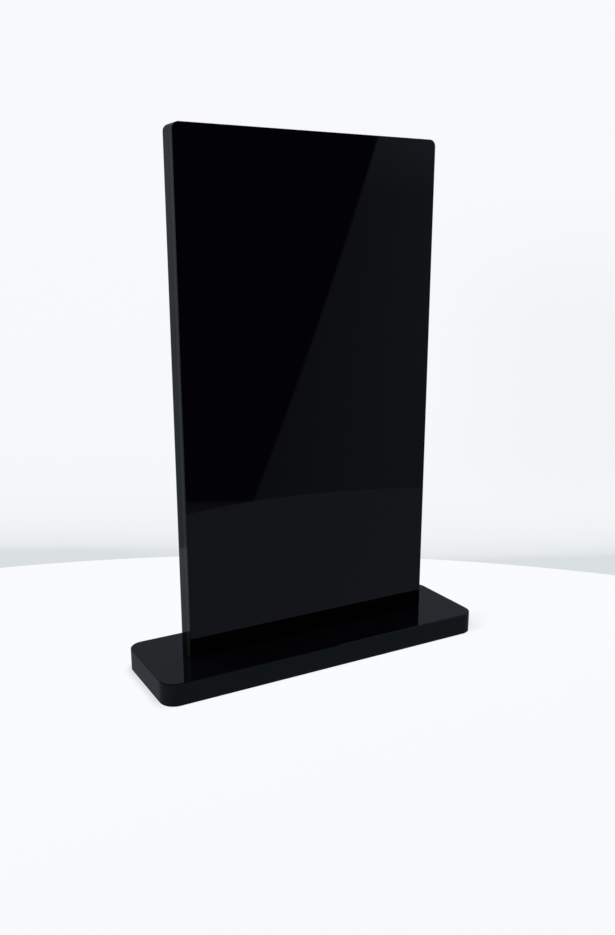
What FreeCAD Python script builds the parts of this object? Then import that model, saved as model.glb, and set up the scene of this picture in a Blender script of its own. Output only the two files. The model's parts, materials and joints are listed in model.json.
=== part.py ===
"""Tabletop touchscreen kiosk: an upright 15.6 inch portrait display slab standing on a weighted base plate.

Millimetres. +X runs along the slab's width, the screen faces -Y and +Z is up.
The origin is on the tabletop, under the middle of the base.
"""
import FreeCAD
import Part
import math
import os

V = FreeCAD.Vector

# ---------------------------------------------------------------- driving dimensions
PANEL_W = 216.0            # slab width
PANEL_H = 385.0            # slab height above the base
PANEL_T = 17.6             # slab thickness, glass to rear face
FRONT_Y = -8.0             # face of the glass
PANEL_R = 5.0              # top corners of the slab
BASE_L = 285.2
BASE_D = 84.6
BASE_TOP = 18.8            # top of the base above the tabletop
BASE_R = 12.0              # vertical corners of the base
FOOT_SHOW = 0.8            # gap under the base that the feet leave
SEAL_T = 0.3               # seal between slab and base

PANEL_Z0 = BASE_TOP + SEAL_T
PANEL_Z1 = BASE_TOP + PANEL_H
PANEL_MID_Z = (PANEL_Z0 + PANEL_Z1) / 2
REAR_Y = FRONT_Y + PANEL_T

# Layers of the slab, from the glass back to the rear cover, as Y planes.
GLASS_T = 2.0
GLASS_BACK = FRONT_Y + GLASS_T
SENSOR_BACK = GLASS_BACK + 0.3
TAPE_BACK = SENSOR_BACK + 0.4
LEDGE_BACK = TAPE_BACK + 1.2
GASKET_BACK = LEDGE_BACK + 0.4
CELL_BACK = GASKET_BACK + 1.0
FILM_BACK = CELL_BACK + 0.3
GUIDE_BACK = FILM_BACK + 0.6
REFLECTOR_BACK = GUIDE_BACK + 0.15
TRAY_BACK = REFLECTOR_BACK + 0.4
SEAM_Y = -1.1              # joint line between front frame and rear cover
SEAM_GAP = 0.12
SEAM_BREAK = 0.12          # chamfer on both lips of the joint line
CHASSIS_FRONT = -1.25
CHASSIS_BACK = CHASSIS_FRONT + 1.5
SHELL_WALL = 2.0
GLASS_ARRIS = 0.3          # chamfer round the glass
REAR_ROUND = 0.5           # fillet round the rear face
BASE_TOP_BREAK = 0.6
BASE_FOOT_BREAK = 0.4
COVER_INNER = REAR_Y - SHELL_WALL

# Display module.
ACTIVE_W = 193.6
ACTIVE_H = 344.2
CELL_W = 203.4
CELL_H = 350.0
TRAY_W = 205.4
TRAY_H = 352.0
WINDOW_MARGIN = 1.7
WINDOW_W = ACTIVE_W + 2 * WINDOW_MARGIN    # opening in the front frame's ledge
WINDOW_H = ACTIVE_H + 2 * WINDOW_MARGIN
TRAY_Z0 = PANEL_MID_Z - TRAY_H / 2
CELL_Z0 = PANEL_MID_Z - CELL_H / 2

# Base levels, as Z planes.
PLATE_Z0 = 1.6             # underside of the bottom plate, on top of the feet
PLATE_Z1 = 3.2
BALLAST_T = 8.0
BALLAST_Z1 = PLATE_Z1 + BALLAST_T
BASE_WALL = 2.5
BASE_ROOF = 2.8
ROOF_Z = BASE_TOP - BASE_ROOF
FLANGE_T = 3.0
BALLAST_INSET = 5.5
PLATE_INSET = 2.9

# Cable bay in the back of the base.
BAY_HALF = 54.0
BAY_BACK = 34.25           # face that the sockets look out of
BAY_Z1 = 14.0
BAY_WALL = 2.5
PORT_Z = 8.7
DC_X = -30.0
USB_C_X = 0.0
USB_A_X = 27.0
IO_Z0 = 4.2
IO_Z1 = 5.8
IO_FRONT = 11.0
IO_REAR = 31.5
IO_HALF = 44.0
IO_HEADER_X1 = 38.0
IO_HOLES = [(x, y) for y in (14.0, 26.0) for x in (-40.0, 40.0)]
SECURITY_X = -105.0

# Upright bracket.
SPINE_HALF = 50.0
SPINE_T = 3.0
SPINE_TOP = 98.0
SPINE_SCREWS = [(x, z) for z in (60.0, 88.0) for x in (-35.0, 35.0)]
FLANGE_FRONT = -24.0
FLANGE_BOLTS = [(x, y) for y in (-18.0, -8.0) for x in (-38.0, 38.0)]

# Fastener places.
FRAME_POSTS = [(x, z) for z in (PANEL_Z0 + 9.0, PANEL_Z1 - 9.0) for x in (-88.0, 88.0)]
FRAME_POSTS += [(0.0, PANEL_Z1 - 9.0)]
COVER_SCREWS = [(x, z) for z in (31.0, 118.0, 250.0, 389.0) for x in (-97.0, 97.0)]
BASE_BOSSES = [(-125.0, 0.0), (125.0, 0.0)] + [(x, y) for y in (-29.0, 29.0) for x in (-85.0, 85.0)]
FEET = [(x, y) for y in (-27.0, 27.0) for x in (-124.0, 124.0)]
BOLT_DOWN = [(x, y) for y in (-25.0, 25.0) for x in (-100.0, 100.0)]
LOOM_X = 55.5
LOOM_Y = 3.1
LOOM_R = 1.8

# Rear cover openings.
VENT_W = 140.0
VENT_H = 36.0
VENT_Z = 348.0
SPEAKER_X = 80.0
SPEAKER_Z = 79.0
SPEAKER_W = 36.0           # grille plate
SPEAKER_H = 18.0
GRILLE_T = 1.0
GRILLE_LIP = 2.0
GRILLE_FIT = 0.2
GRILLE_CORNER = 3.0
COVER_SCREW_SINK = 2.4     # depth of the head's counterbore

# Keys on the rear cover, each a cap over a tactile switch.
KEY_X = 96.0
KEYS = {"power": 152.0, "volume_down": 172.0, "volume_up": 186.0}
KEY_CAP_R = 3.4
KEY_HOLE_R = 3.6
KEY_BAY_DEPTH = 0.8
KEY_BAY_HALF = 5.5
KEY_TRAVEL = 0.5
KEY_SEAT = 6.6             # Y where the cap meets the switch plunger
SWITCH_BACK = 5.9

# Electronics in the slab.
BOARD_W = 124.0
BOARD_H = 86.0
BOARD_Z0 = 222.0
BOARD_Y = CHASSIS_BACK + 2.0
BOARD_T = 1.2
BOARD_HOLES = [(sx * (BOARD_W / 2 - 5), z) for z in (BOARD_Z0 + 5, BOARD_Z0 + BOARD_H - 5) for sx in (-1, 1)]
TOUCH_BOARD_X = -74.0
TOUCH_BOARD_Z = 48.0
TOUCH_BOARD_BACK = 1.9
TOUCH_BOARD_HOLES = [(TOUCH_BOARD_X + dx, TOUCH_BOARD_Z + 7) for dx in (-14.5, 14.5)]
KEY_BOARD_BACK = SWITCH_BACK - 1.7
KEY_BOARD_HOLES = [(KEY_X, z) for z in (146.0, 192.0)]
SMALL_SCREW = 2.9          # length under the head of the one small screw used throughout
SMALL_PILOT = 1.3


# ---------------------------------------------------------------- shape helpers
def box(x0, x1, y0, y1, z0, z1):
    """A box between two corners, given as low and high on each axis."""
    return Part.makeBox(x1 - x0, y1 - y0, z1 - z0, V(x0, y0, z0))


def rod(radius, start, direction, length):
    return Part.makeCylinder(radius, length, V(*start), V(*direction))


def rod_y(radius, x, z, y0, y1):
    """A cylinder along Y."""
    return rod(radius, (x, y0, z), (0, 1, 0), y1 - y0)


def rod_z(radius, x, y, z0, z1):
    """A cylinder along Z."""
    return rod(radius, (x, y, z0), (0, 0, 1), z1 - z0)


def group(shapes):
    """Separate solids kept side by side in one node."""
    return Part.makeCompound([solid for shape in shapes for solid in shape.Solids])


def cut_all(shape, tools):
    return shape.cut(Part.makeCompound(tools)) if tools else shape


def join(shapes):
    joined = shapes[0]
    for shape in shapes[1:]:
        joined = joined.fuse(shape)
    return joined.removeSplitter()


def panel_prism(inset, y0, y1, bottom=None):
    """The slab's outline, shrunk by inset, between two Y planes. Only the top corners are round."""
    x = PANEL_W / 2 - inset
    z0 = PANEL_Z0 + inset if bottom is None else bottom
    z1 = PANEL_Z1 - inset
    r = max(PANEL_R - inset, 0.5)
    bend = r * math.sqrt(0.5)
    path = [
        Part.LineSegment(V(-x, y0, z0), V(x, y0, z0)),
        Part.LineSegment(V(x, y0, z0), V(x, y0, z1 - r)),
        Part.Arc(V(x, y0, z1 - r), V(x - r + bend, y0, z1 - r + bend), V(x - r, y0, z1)),
        Part.LineSegment(V(x - r, y0, z1), V(-x + r, y0, z1)),
        Part.Arc(V(-x + r, y0, z1), V(-x + r - bend, y0, z1 - r + bend), V(-x, y0, z1 - r)),
        Part.LineSegment(V(-x, y0, z1 - r), V(-x, y0, z0)),
    ]
    wire = Part.Wire([segment.toShape() for segment in path])
    return Part.Face(wire).extrude(V(0, y1 - y0, 0))


def base_prism(inset, z0, z1):
    """The base's outline, shrunk by inset, between two Z planes."""
    r = BASE_R - inset
    x = BASE_L / 2 - inset
    y = BASE_D / 2 - inset
    block = box(-x, x, -y, y, z0, z1)
    return block.makeFillet(r, edges_along(block, "z"))


def edges_along(shape, axis):
    """Edges that start off along that axis."""
    return [edge for edge in shape.Edges if abs(getattr(edge.tangentAt(edge.FirstParameter), axis)) > 0.9]


def edges_on(shape, axis, value):
    """Edges lying wholly in the plane where that coordinate equals value."""
    low, high = axis + "Min", axis + "Max"
    found = []
    for edge in shape.Edges:
        bounds = edge.BoundBox
        if abs(getattr(bounds, low) - value) < 1e-4 and abs(getattr(bounds, high) - value) < 1e-4:
            found.append(edge)
    return found


def along_y(shape, x, y, z):
    """Turns a shape modelled along +Z to point along +Y, then moves it."""
    turned = shape.copy()
    turned.rotate(V(0, 0, 0), V(1, 0, 0), -90)
    turned.translate(V(x, y, z))
    return turned


def moved(shape, x, y, z):
    copy = shape.copy()
    copy.translate(V(x, y, z))
    return copy


def hex_prism(across_flats, height):
    """A hexagonal prism on the XY plane with two flats level with X."""
    r = across_flats / math.sqrt(3)
    corners = [V(r * math.cos(math.radians(60 * i)), r * math.sin(math.radians(60 * i)), 0) for i in range(6)]
    return Part.Face(Part.makePolygon(corners + corners[:1])).extrude(V(0, 0, height))


def pan_screw(shank_r, head_r, head_h, length, socket_af):
    """Shank up +Z from 0 to length, then a rounded head with a hexagon socket."""
    shank = Part.makeCylinder(shank_r, length)
    head = Part.makeCylinder(head_r, head_h, V(0, 0, length))
    head = head.makeFillet(head_h * 0.35, edges_on(head, "Z", length + head_h))
    socket = moved(hex_prism(socket_af, head_h), 0, 0, length + head_h * 0.45)
    return shank.fuse(head).cut(socket)


def flat_screw(shank_r, head_r, head_h, length, socket_af):
    """Countersunk screw: head on the XY plane from 0, shank up +Z to length."""
    head = Part.makeCone(head_r, shank_r, head_h)
    shank = Part.makeCylinder(shank_r, length - head_h, V(0, 0, head_h))
    return head.fuse(shank).cut(hex_prism(socket_af, head_h * 0.6))


def rounded_path(points):
    """Straight runs joined by tangent arcs as large as the runs beside each corner allow."""
    corners = [V(*p) for p in points]
    edges = []
    radii = []
    start = corners[0]
    for before, corner, after in zip(corners, corners[1:], corners[2:]):
        run_in, run_out = before - corner, after - corner
        reach = 0.45 * min(run_in.Length, run_out.Length)
        turn = math.pi - run_in.getAngle(run_out)
        radii.append(reach / math.tan(turn / 2))
        a = corner + run_in.normalize() * reach
        b = corner + run_out.normalize() * reach
        to_middle = (run_in + run_out).normalize()
        radius = radii[-1]
        middle = corner + to_middle * (radius / math.cos(turn / 2) - radius)
        edges.append(Part.LineSegment(start, a).toShape())
        edges.append(Part.Arc(a, middle, b).toShape())
        start = b
    edges.append(Part.LineSegment(start, corners[-1]).toShape())
    return Part.Wire(edges), radii


def tube(name, points, radius):
    """A round cable along a route of corner points."""
    path, radii = rounded_path(points)
    first, second = V(*points[0]), V(*points[1])
    ring = Part.Wire(Part.makeCircle(radius, first, second - first))
    solid = path.makePipeShell([ring], True, True)
    expected = math.pi * radius * radius * path.Length
    share = solid.Volume / expected
    bends = [round(r, 1) for r in radii]
    print(f"{name}: length {path.Length:.1f}, bend radii {bends}, volume ratio {share:.4f}")
    return solid


# ---------------------------------------------------------------- glass and touch
def cover_glass():
    """Full-face black-backed glass with polished arrises."""
    glass = panel_prism(0, FRONT_Y, GLASS_BACK)
    glass = glass.makeChamfer(GLASS_ARRIS, edges_on(glass, "Y", FRONT_Y))
    return glass.makeChamfer(0.2, edges_on(glass, "Y", GLASS_BACK))


def touch_sensor():
    return box(-103, 103, GLASS_BACK, SENSOR_BACK, PANEL_MID_Z - 185, PANEL_MID_Z + 186)


def bonding_tape():
    half_w, half_h = 102.5, 181.5
    ring = box(-half_w, half_w, SENSOR_BACK, TAPE_BACK, PANEL_MID_Z - half_h, PANEL_MID_Z + half_h)
    return ring.cut(display_window(SENSOR_BACK - 1, TAPE_BACK + 1))


def display_window(y0, y1):
    half_w, half_h = WINDOW_W / 2, WINDOW_H / 2
    return box(-half_w, half_w, y0, y1, PANEL_MID_Z - half_h, PANEL_MID_Z + half_h)


def touch_flex():
    """Tail of the touch sensor: down behind the glass, back under the display and up to its board."""
    x0, x1 = TOUCH_BOARD_X - 10, TOUCH_BOARD_X + 10
    z = PANEL_Z0 + 3.6
    film = 0.15
    front = box(x0, x1, SENSOR_BACK, SENSOR_BACK + film, z, z + 6)
    across = box(x0, x1, SENSOR_BACK, 0.8, z, z + film)
    rise = box(x0, x1, 0.8 - film, 0.8, z, TOUCH_BOARD_Z - 5)
    return join([front, across, rise])


# ---------------------------------------------------------------- front frame and display
def front_frame():
    """Rim behind the glass, with the ledge that the glass is taped to and the display sits behind."""
    rim_front, rim_back = GLASS_BACK + 0.1, SEAM_Y - SEAM_GAP / 2
    outer = panel_prism(0, rim_front, rim_back)
    outer = outer.makeChamfer(SEAM_BREAK, edges_on(outer, "Y", rim_back))
    rim = outer.cut(panel_prism(SHELL_WALL, rim_front - 1, rim_back + 1))
    ledge = panel_prism(SHELL_WALL - 0.5, TAPE_BACK, LEDGE_BACK)
    ledge = ledge.cut(display_window(TAPE_BACK - 1, LEDGE_BACK + 1))
    posts = [rod_y(3.0, x, z, LEDGE_BACK - 0.5, CHASSIS_FRONT) for x, z in FRAME_POSTS]
    frame = join([rim, ledge] + posts)
    pilots = [rod_y(SMALL_PILOT, x, z, LEDGE_BACK - 0.3, CHASSIS_FRONT + 1) for x, z in FRAME_POSTS]
    flex_slot = box(TOUCH_BOARD_X - 11, TOUCH_BOARD_X + 11, TAPE_BACK - 1, LEDGE_BACK + 1,
                    PANEL_Z0 + 2.6, PANEL_Z0 + 5.0)
    return cut_all(frame, pilots + [flex_slot])


def display_gasket():
    """Foam frame that keeps dust out between ledge and display."""
    half_w, half_h = CELL_W / 2, CELL_H / 2
    ring = box(-half_w, half_w, LEDGE_BACK, GASKET_BACK, PANEL_MID_Z - half_h, PANEL_MID_Z + half_h)
    return ring.cut(display_window(LEDGE_BACK - 1, GASKET_BACK + 1))


def display_layer(y0, y1, left_trim=0.0):
    half_w, half_h = CELL_W / 2, CELL_H / 2
    return box(-half_w + left_trim, half_w, y0, y1, PANEL_MID_Z - half_h, PANEL_MID_Z + half_h)


def lcd_cell():
    return display_layer(GASKET_BACK, CELL_BACK)


def optical_films():
    return display_layer(CELL_BACK, FILM_BACK)


def light_guide():
    return display_layer(FILM_BACK, GUIDE_BACK, left_trim=4.0)


def backlight_strip():
    """Narrow circuit with a row of side-firing lamps along the light guide's left edge."""
    x0 = -CELL_W / 2
    strip = box(x0, x0 + 1.0, FILM_BACK, GUIDE_BACK, CELL_Z0 + 2, CELL_Z0 + CELL_H - 2)
    pitch = 11.5
    count = int((CELL_H - 10) / pitch) + 1
    lamps = [box(x0 + 0.9, x0 + 3.8, FILM_BACK + 0.05, GUIDE_BACK - 0.05,
                 CELL_Z0 + 5 + i * pitch, CELL_Z0 + 9 + i * pitch) for i in range(count)]
    return join([strip] + lamps)


def backlight_reflector():
    return display_layer(GUIDE_BACK, REFLECTOR_BACK)


FLEX_XS = (-72.0, -24.0, 24.0, 72.0)
FLEX_HALF = 16.0


def lcd_tray():
    """Folded steel tray that holds the display stack, notched for the drive flexes."""
    half_w, half_h, wall = TRAY_W / 2, TRAY_H / 2, 0.5
    outer = box(-half_w, half_w, GASKET_BACK, TRAY_BACK, PANEL_MID_Z - half_h, PANEL_MID_Z + half_h)
    inner = box(-half_w + wall, half_w - wall, GASKET_BACK - 1, REFLECTOR_BACK,
                PANEL_MID_Z - half_h + wall, PANEL_MID_Z + half_h - wall)
    notches = [box(x - FLEX_HALF - 0.4, x + FLEX_HALF + 0.4, GASKET_BACK + 0.2, GASKET_BACK + 0.8,
                   TRAY_Z0 - 1, TRAY_Z0 + 1) for x in FLEX_XS]
    return cut_all(outer, [inner] + notches)


def display_flexes():
    """Film circuits that wrap from the display's lower edge round the tray to the driver board."""
    film = 0.15
    z = TRAY_Z0 - 0.4
    y_front = GASKET_BACK + 0.4
    y_back = TRAY_BACK + 0.02 + 0.8
    flexes = []
    for x in FLEX_XS:
        x0, x1 = x - FLEX_HALF, x + FLEX_HALF
        flexes.append(join([
            box(x0, x1, y_front, y_front + film, z, CELL_Z0),
            box(x0, x1, y_front, y_back + film, z, z + film),
            box(x0, x1, y_back, y_back + film, z, TRAY_Z0 + 7),
        ]))
    return group(flexes)


def display_driver_board():
    """Long thin board behind the display's lower edge, with its drive chips and cable socket."""
    y0 = TRAY_BACK + 0.02
    board = box(-90, 90, y0, y0 + 0.8, TRAY_Z0 + 4, TRAY_Z0 + 16)
    chips = [box(x - 4, x + 4, y0 + 0.7, y0 + 1.3, TRAY_Z0 + 9, TRAY_Z0 + 15) for x in (-60, -20, 30)]
    return join([board] + chips)


# ---------------------------------------------------------------- chassis and electronics
def chassis_plate():
    """Aluminium plate that carries the display in front and, on its own posts, the electronics behind."""
    posts = [rod_y(2.7, x, z, CHASSIS_BACK - 0.5, CHASSIS_BACK + 2) for x, z in COVER_SCREWS]
    posts += [rod_y(2.5, x, z, CHASSIS_BACK - 0.5, BOARD_Y) for x, z in BOARD_HOLES]
    posts += [rod_y(2.0, x, z, CHASSIS_BACK - 0.5, TOUCH_BOARD_BACK - 0.8) for x, z in TOUCH_BOARD_HOLES]
    posts += [rod_y(2.2, x, z, CHASSIS_BACK - 0.5, KEY_BOARD_BACK - 1.0) for x, z in KEY_BOARD_HOLES]
    plate = join([panel_prism(2.6, CHASSIS_FRONT, CHASSIS_BACK)] + posts)
    y0, y1 = CHASSIS_FRONT - 1, BOARD_Y + 1
    cuts = [box(-92, 92, y0, y1, TRAY_Z0 - 2.4, TRAY_Z0 + 18)]
    cuts += [box(TOUCH_BOARD_X - 11, TOUCH_BOARD_X + 11, y0, y1, PANEL_Z0 + 2.5, PANEL_Z0 + 5.0)]
    cuts += [box(x - 18, x + 18, y0, y1, z - 9, z + 9) for x in (-45, 0, 45) for z in (150.0, 185.0)]
    cuts += [rod_y(1.5, x, z, y0, y1) for x, z in COVER_SCREWS]
    cuts += [rod_y(2.0, x, z, y0, y1) for x, z in SPINE_SCREWS]
    small = FRAME_POSTS + BOARD_HOLES + TOUCH_BOARD_HOLES + KEY_BOARD_HOLES
    cuts += [rod_y(SMALL_PILOT, x, z, y0, y1) for x, z in small]
    return cut_all(plate, cuts)


def small_screws():
    """The one small screw, used for the chassis and for every board."""
    screw = pan_screw(1.22, 2.3, 1.2, SMALL_SCREW, 1.5)
    seats = [(CHASSIS_BACK, FRAME_POSTS), (BOARD_Y + BOARD_T, BOARD_HOLES),
             (TOUCH_BOARD_BACK, TOUCH_BOARD_HOLES), (KEY_BOARD_BACK, KEY_BOARD_HOLES)]
    screws = [along_y(screw, x, seat - SMALL_SCREW, z) for seat, holes in seats for x, z in holes]
    screws += [moved(screw, x, y, IO_Z1 - SMALL_SCREW) for x, y in IO_HOLES]
    return group(screws)


def main_board():
    """Main circuit board with the soldered coils and capacitors of its supply."""
    half = BOARD_W / 2
    board = box(-half, half, BOARD_Y, BOARD_Y + BOARD_T, BOARD_Z0, BOARD_Z0 + BOARD_H)
    board = board.makeFillet(2.0, edges_along(board, "y"))
    y0, z = BOARD_Y + BOARD_T - 0.1, BOARD_Z0 + 12
    coils = [box(x - 3, x + 3, y0, y0 + 2.2, z - 3, z + 3) for x in (-38, -29, -20)]
    cans = [rod_y(2.0, x, z, y0, y0 + 2.0) for x in (-10, -4, 2)]
    board = join([board] + coils + cans)
    return cut_all(board, [rod_y(SMALL_PILOT, x, z, BOARD_Y - 1, BOARD_Y + 3) for x, z in BOARD_HOLES])


def chip(x, z, w, h, t):
    """A package on the main board, centred at x, z."""
    y0 = BOARD_Y + BOARD_T
    return box(x - w / 2, x + w / 2, y0, y0 + t, z - h / 2, z + h / 2)


PROCESSOR = (-12.0, BOARD_Z0 + 50)


def processor():
    return chip(*PROCESSOR, 21, 21, 0.8)


def memory_chips():
    x, z = PROCESSOR
    places = ((x - 30, z + 12, 11, 12), (x - 30, z - 8, 11, 12), (x + 30, z - 16, 12, 14))
    return group([chip(*place, 1.0) for place in places])


SUPPLY_X = 44.0
RIBBON_X = 15.5
TOUCH_LEAD_X = -48.0
SPEAKER_LEAD_Z = BOARD_Z0 + 40
KEY_LEAD_Z = BOARD_Z0 + 66
SIDE_SOCKET_X = BOARD_W / 2 + 1.0
LOW_SOCKET_Z = BOARD_Z0 - 1.5


def board_connectors():
    """Sockets along the board's edges: supply, display, touch, speakers and keys."""
    y0 = BOARD_Y + BOARD_T
    low = [box(x - w / 2, x + w / 2, y0, y0 + t, LOW_SOCKET_Z, BOARD_Z0 + 6)
           for x, w, t in ((SUPPLY_X, 12, 2.2), (TOUCH_LEAD_X, 8, 2.0))]
    side = []
    for s, z in ((1, SPEAKER_LEAD_Z), (-1, SPEAKER_LEAD_Z), (1, KEY_LEAD_Z)):
        edge_x, inner_x = s * SIDE_SOCKET_X, s * (SIDE_SOCKET_X - 5)
        side.append(box(min(edge_x, inner_x), max(edge_x, inner_x), y0, y0 + 2.0, z - 3.5, z + 3.5))
    display = box(RIBBON_X - 6, RIBBON_X + 6, y0, y0 + 1.2, BOARD_Z0 + 2, BOARD_Z0 + 6)
    return group(low + side + [display])


def heat_spreader():
    """Finned aluminium block on the processor."""
    x, z = PROCESSOR
    y0 = BOARD_Y + BOARD_T + 0.8
    block = box(x - 20, x + 20, y0, y0 + 1.5, z - 20, z + 20)
    grooves = [box(x - 18.2 + 4 * i, x - 16.2 + 4 * i, y0 + 0.7, y0 + 2, z - 21, z + 21) for i in range(10)]
    return cut_all(block, grooves)


def radio_module():
    """Radio card with its screening can."""
    x, z = 36.0, BOARD_Z0 + 66
    y0 = BOARD_Y + BOARD_T
    card = box(x - 11, x + 11, y0, y0 + 0.6, z - 9, z + 9)
    can = box(x - 9, x + 9, y0 + 0.5, y0 + 1.8, z - 7, z + 7)
    return join([card, can.makeFillet(0.4, edges_on(can, "Y", y0 + 1.8))])


ANTENNA_Z = 376.0
ANTENNA_XS = (-60.0, 60.0)


def antennas():
    y0, y1 = COVER_INNER - 0.3, COVER_INNER
    return group([box(x - 18, x + 18, y0, y1, ANTENNA_Z - 4, ANTENNA_Z + 4) for x in ANTENNA_XS])


def antenna_cables():
    """Two thin coaxial leads from the radio card to the antennas."""
    y = BOARD_Y + BOARD_T + 0.9
    z0, z1 = BOARD_Z0 + 75, ANTENNA_Z - 4
    end_y = COVER_INNER - 0.9
    routes = [
        [(30, y, z0), (30, y, z0 + 14), (8, y, z0 + 24), (-20, y, z0 + 30), (-46, end_y, z0 + 48),
         (-52, end_y, z1)],
        [(42, y, z0), (42, y, z0 + 16), (48, y, z0 + 34), (56, end_y, z0 + 56), (57, end_y, z1)],
    ]
    return group([tube("antenna_cable", route, 0.6) for route in routes])


def touch_board():
    """Touch controller board with its flex socket on the front."""
    x, z = TOUCH_BOARD_X, TOUCH_BOARD_Z
    back = TOUCH_BOARD_BACK
    board = box(x - 18, x + 18, back - 0.8, back, z - 10, z + 10)
    socket = box(x - 11, x + 11, 0.8, back - 0.75, z - 8, z - 5)
    controller = box(x - 5, x + 5, back - 0.1, back + 0.9, z - 3, z + 7)
    plug = box(x + 8, x + 16, back - 0.1, back + 2.4, z - 6, z + 2)
    board = join([board, socket, controller, plug])
    return cut_all(board, [rod_y(SMALL_PILOT, hx, hz, 0, back + 1) for hx, hz in TOUCH_BOARD_HOLES])


def touch_cable():
    """Lead from the touch controller up to the main board."""
    x = TOUCH_BOARD_X + 16
    y = 3.2
    lane = -55.4
    z = TOUCH_BOARD_Z - 2
    route = [(x, y, z), (lane, y, z), (lane, y, z + 110), (TOUCH_LEAD_X, y + 0.4, LOW_SOCKET_Z - 14),
             (TOUCH_LEAD_X, y + 0.4, LOW_SOCKET_Z)]
    return tube("touch_cable", route, 0.8)


def display_ribbon():
    """Flat cable from the main board, folded round the bracket, to the display driver board."""
    y = CHASSIS_BACK + 0.15
    t = 0.4
    w = 9.0
    lane = 51.0
    turn_z = 108.0
    x0, x1 = RIBBON_X - w / 2, RIBBON_X + w / 2
    over_y = BOARD_Y + BOARD_T + 0.5
    foot_z = TRAY_Z0 + 10
    return join([
        box(lane, lane + w, TRAY_BACK + 0.83, y + t, foot_z, foot_z + t),
        box(lane, lane + w, y, y + t, foot_z, turn_z + w),
        box(x0, lane + w, y, y + t, turn_z, turn_z + w),
        box(x0, x1, y, y + t, turn_z, BOARD_Z0 - 1.6),
        box(x0, x1, y, over_y + t, BOARD_Z0 - 2, BOARD_Z0 - 1.6),
        box(x0, x1, over_y, over_y + t, BOARD_Z0 - 2, BOARD_Z0 + 1.9),
    ])


# ---------------------------------------------------------------- speakers
SPEAKER_BOX_W = SPEAKER_W + 2
SPEAKER_BOX_H = SPEAKER_H
SPEAKER_BACK = COVER_INNER - 0.5


def oval(x, z, w, h, y0, y1):
    """A round-ended plug along Y."""
    r = h / 2
    middle = box(x - w / 2 + r, x + w / 2 - r, y0, y1, z - r, z + r)
    return join([middle, rod_y(r, x - w / 2 + r, z, y0, y1), rod_y(r, x + w / 2 - r, z, y0, y1)])


def speaker_body(x):
    """Slim speaker box with an oval recess for its cone."""
    w, h = SPEAKER_BOX_W, SPEAKER_BOX_H
    body = box(x - w / 2, x + w / 2, CHASSIS_BACK, SPEAKER_BACK, SPEAKER_Z - h / 2, SPEAKER_Z + h / 2)
    recess = oval(x, SPEAKER_Z, w - 8, h - 6, SPEAKER_BACK - 2.2, SPEAKER_BACK + 1)
    return body.makeFillet(2.0, edges_along(body, "y")).cut(recess)


def speaker_cones():
    w, h = SPEAKER_BOX_W - 8.4, SPEAKER_BOX_H - 6.4
    cones = []
    for x in (-SPEAKER_X, SPEAKER_X):
        ring = oval(x, SPEAKER_Z, w, h, SPEAKER_BACK - 2.2, SPEAKER_BACK - 0.9)
        cones.append(ring.cut(oval(x, SPEAKER_Z, w - 4, h - 4, SPEAKER_BACK - 1.6, SPEAKER_BACK)))
    return group(cones)


def speaker_gaskets():
    """Foam rims that seal the speakers against the rear cover."""
    w, h = SPEAKER_BOX_W, SPEAKER_BOX_H
    rings = []
    for x in (-SPEAKER_X, SPEAKER_X):
        pad = box(x - w / 2, x + w / 2, SPEAKER_BACK, COVER_INNER, SPEAKER_Z - h / 2, SPEAKER_Z + h / 2)
        pad = pad.makeFillet(2.0, edges_along(pad, "y"))
        rings.append(pad.cut(oval(x, SPEAKER_Z, w - 6, h - 4, SPEAKER_BACK - 1, COVER_INNER + 1)))
    return group(rings)


def speaker_cables():
    """Leads from each speaker up to the main board."""
    top = SPEAKER_Z + SPEAKER_BOX_H / 2
    y = 2.4
    end_y = BOARD_Y + BOARD_T + 1.0
    routes = []
    for s in (-1, 1):
        x = s * (SPEAKER_X + 8)
        routes.append([(x, y, top), (x, y, top + 30), (s * 82, y, top + 80), (s * 76, y, BOARD_Z0 - 10),
                       (s * 72, end_y, SPEAKER_LEAD_Z - 8), (s * 70, end_y, SPEAKER_LEAD_Z),
                       (s * SIDE_SOCKET_X, end_y, SPEAKER_LEAD_Z)])
    return group([tube("speaker_cable", route, 0.8) for route in routes])


# ---------------------------------------------------------------- keys
def key_cap(name):
    """Round cap with a flange that keeps it in and a stem that works its switch, marked with a plain sign."""
    z = KEYS[name]
    top = REAR_Y - KEY_BAY_DEPTH + 0.6
    body = rod_y(KEY_CAP_R, KEY_X, z, KEY_SEAT, top)
    body = body.makeFillet(0.35, edges_on(body, "Y", top))
    flange = rod_y(KEY_CAP_R + 1.2, KEY_X, z, KEY_SEAT, COVER_INNER - 0.05)
    stem = rod_y(1.2, KEY_X, z, SWITCH_BACK - 0.6, KEY_SEAT + 0.1)
    cap = join([body, flange, stem])
    y0, y1 = top - 0.2, top + 1
    level = box(KEY_X - 1.5, KEY_X + 1.5, y0, y1, z - 0.25, z + 0.25)
    upright = box(KEY_X - 0.25, KEY_X + 0.25, y0, y1, z - 1.5, z + 1.5)
    if name == "volume_down":
        return cap.cut(level)
    if name == "volume_up":
        return cap.cut(join([level, upright]))
    ring = rod_y(1.8, KEY_X, z, y0, y1).cut(rod_y(1.35, KEY_X, z, y0 - 1, y1 + 1))
    ring = ring.cut(box(KEY_X - 0.8, KEY_X + 0.8, y0 - 1, y1 + 1, z, z + 3))
    return cap.cut(ring).cut(box(KEY_X - 0.22, KEY_X + 0.22, y0, y1, z + 0.3, z + 2.1))


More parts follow.
